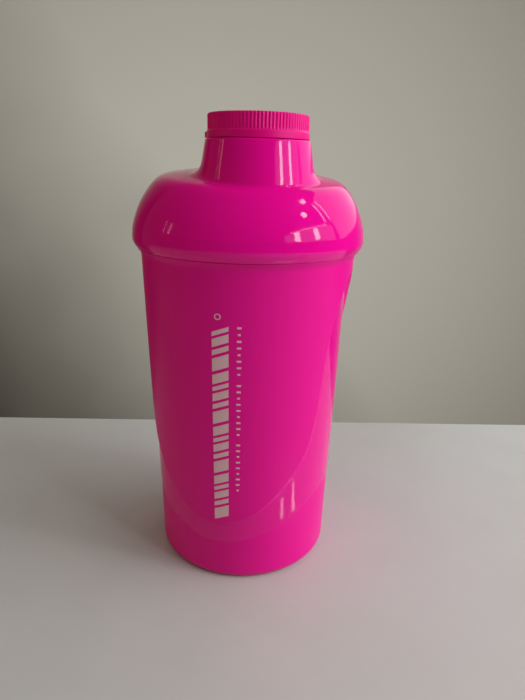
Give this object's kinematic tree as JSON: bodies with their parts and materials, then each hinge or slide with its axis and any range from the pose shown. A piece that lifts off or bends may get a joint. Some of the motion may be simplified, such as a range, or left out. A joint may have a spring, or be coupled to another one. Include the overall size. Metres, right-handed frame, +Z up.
{
  "type": "protein shaker bottle",
  "caption": "Tapered shaker cup with a wave-edged grip, a domed screw lid with an off-centre spout, and a ribbed screw cap.",
  "frame": {"origin": "centre of the foot, on the surface that the bottle stands on", "axes": "+Z up along the cup's axis; the spout leans towards -Y"},
  "size_m": [0.0954, 0.0954, 0.1882],
  "materials": {
    "cup_plastic": "satin pink moulded polypropylene with a polished grip band",
    "lid_plastic": "glossy pink moulded polypropylene",
    "cap_plastic": "satin pink moulded polypropylene",
    "sieve_plastic": "satin pink moulded polypropylene",
    "seal_rubber": "soft translucent white silicone",
    "liner_rubber": "soft white foam liner"
  },
  "bodies": {
    "cup": {"cup": "cup_plastic"},
    "lid_gasket": {"lid_gasket": "seal_rubber"},
    "lid": {"lid": "lid_plastic"},
    "mixing_sieve": {"mixing_sieve": "sieve_plastic"},
    "cap_liner": {"cap_liner": "liner_rubber"},
    "spout_cap": {"spout_cap": "cap_plastic"}
  },
  "joints": [
    {"name": "lid_rise", "type": "slide", "parent": "cup", "child": "lid_gasket", "axis": [0, 0, 1], "range_m": [0, 0.01251]},
    {"name": "lid_turn", "type": "hinge", "parent": "lid_gasket", "child": "lid", "pos_m": [0, 0, 0.1384], "axis": [0, 0, 1], "range_deg": [0, 450]},
    {"name": "sieve_pull", "type": "slide", "parent": "lid", "child": "mixing_sieve", "axis": [0, 0, -1], "range_m": [0, 0.012]},
    {"name": "cap_rise", "type": "slide", "parent": "lid", "child": "cap_liner", "axis": [0, 0, 1], "range_m": [0, 0.00641]},
    {"name": "cap_turn", "type": "hinge", "parent": "cap_liner", "child": "spout_cap", "pos_m": [0.00292, -0.01502, 0.1801], "axis": [0, 0, 1], "range_deg": [0, 360]}
  ],
  "couplings": [
    {"joint": "lid_rise", "follows": "lid_turn", "m_per_rad": 0.0015915},
    {"joint": "cap_rise", "follows": "cap_turn", "m_per_rad": 0.0010186}
  ]
}
